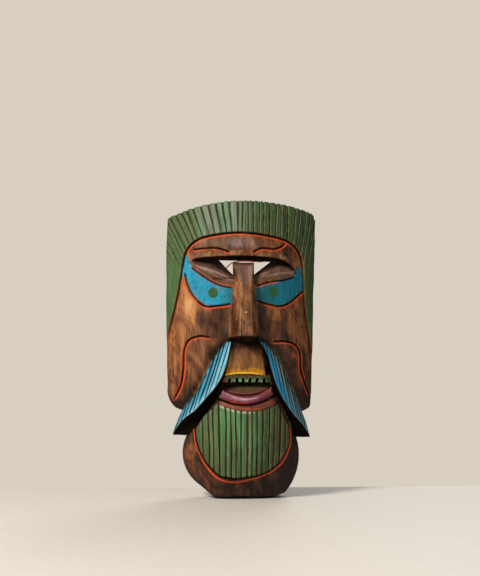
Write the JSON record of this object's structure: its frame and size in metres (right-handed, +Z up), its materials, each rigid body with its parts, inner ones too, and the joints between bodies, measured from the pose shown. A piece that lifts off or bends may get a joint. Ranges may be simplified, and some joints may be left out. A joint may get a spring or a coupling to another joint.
{
  "type": "carved wooden mask",
  "caption": "Hollow-backed carved wooden wall mask: hair band, brow, pegged nose bar, moustache wings, lips and beard panel, with a hanging cord.",
  "frame": {"origin": "the foot of the chin, on the back plane, at the middle of the width", "axes": "+X to the right seen from the front, +Y to the back (the wall), +Z up the mask"},
  "size_m": [0.31, 0.146, 0.6],
  "materials": {
    "carved_wood": "waxed, stained brown",
    "blue_paint": "worn blue paint on carved wood",
    "tooth_paint": "green and pink paint on carved wood",
    "purple_paint": "worn purple paint on carved wood",
    "green_paint": "worn green paint on carved wood",
    "dowel_wood": "bare dowel",
    "screw_metal": "dull brass wire",
    "cord_fibre": "twisted red-brown cord"
  },
  "bodies": {
    "root": {"face_shell": "carved_wood", "nose": "carved_wood", "moustache_left": "blue_paint", "moustache_right": "blue_paint", "upper_lip": "carved_wood", "tooth_strip": "tooth_paint", "lower_lip": "purple_paint", "beard_panel": "green_paint", "nose_pegs": "dowel_wood", "moustache_pegs_left": "dowel_wood", "moustache_pegs_right": "dowel_wood", "upper_lip_pegs": "dowel_wood", "lower_lip_pegs": "dowel_wood", "beard_pegs": "dowel_wood", "screw_eye_left": "screw_metal", "screw_eye_right": "screw_metal", "hanging_cord": "cord_fibre", "cord_knot_left": "cord_fibre", "cord_knot_right": "cord_fibre"}
  },
  "joints": []
}
